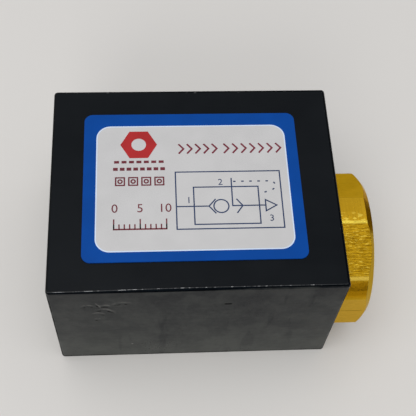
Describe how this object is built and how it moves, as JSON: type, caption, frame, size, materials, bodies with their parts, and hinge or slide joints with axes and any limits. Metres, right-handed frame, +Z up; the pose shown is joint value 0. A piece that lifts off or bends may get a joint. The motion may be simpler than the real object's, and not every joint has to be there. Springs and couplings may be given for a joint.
{
  "type": "quick exhaust valve",
  "caption": "Block-shaped quick exhaust valve for compressed air, with threaded inlet and outlet ports, a hexagonal exhaust cap and a sliding lip seal.",
  "frame": {"origin": "middle of the block's bottom face, on which the valve rests", "axes": "+X along the valve axis from the inlet port to the exhaust cap, +Y towards the outlet port in the back face, +Z up to the label"},
  "size_m": [0.0671, 0.0486, 0.0353],
  "materials": {
    "black_anodised_aluminium": "satin black anodised, milled faces",
    "gold_anodised_aluminium": "gold anodised over turned and milled faces",
    "nitrile_rubber": "matt moulded rubber",
    "o_ring_rubber": "smooth moulded rubber",
    "label_foil": "satin printed film, blue border round a pale panel"
  },
  "bodies": {
    "housing": {"valve_body": "black_anodised_aluminium", "exhaust_cap": "gold_anodised_aluminium", "cap_o_ring": "o_ring_rubber", "label": "label_foil"},
    "seal": {"lip_seal": "nitrile_rubber"}
  },
  "joints": [
    {"name": "seal_slide", "type": "slide", "parent": "housing", "child": "seal", "axis": [1, 0, 0], "range_m": [0, 0.0026]}
  ]
}
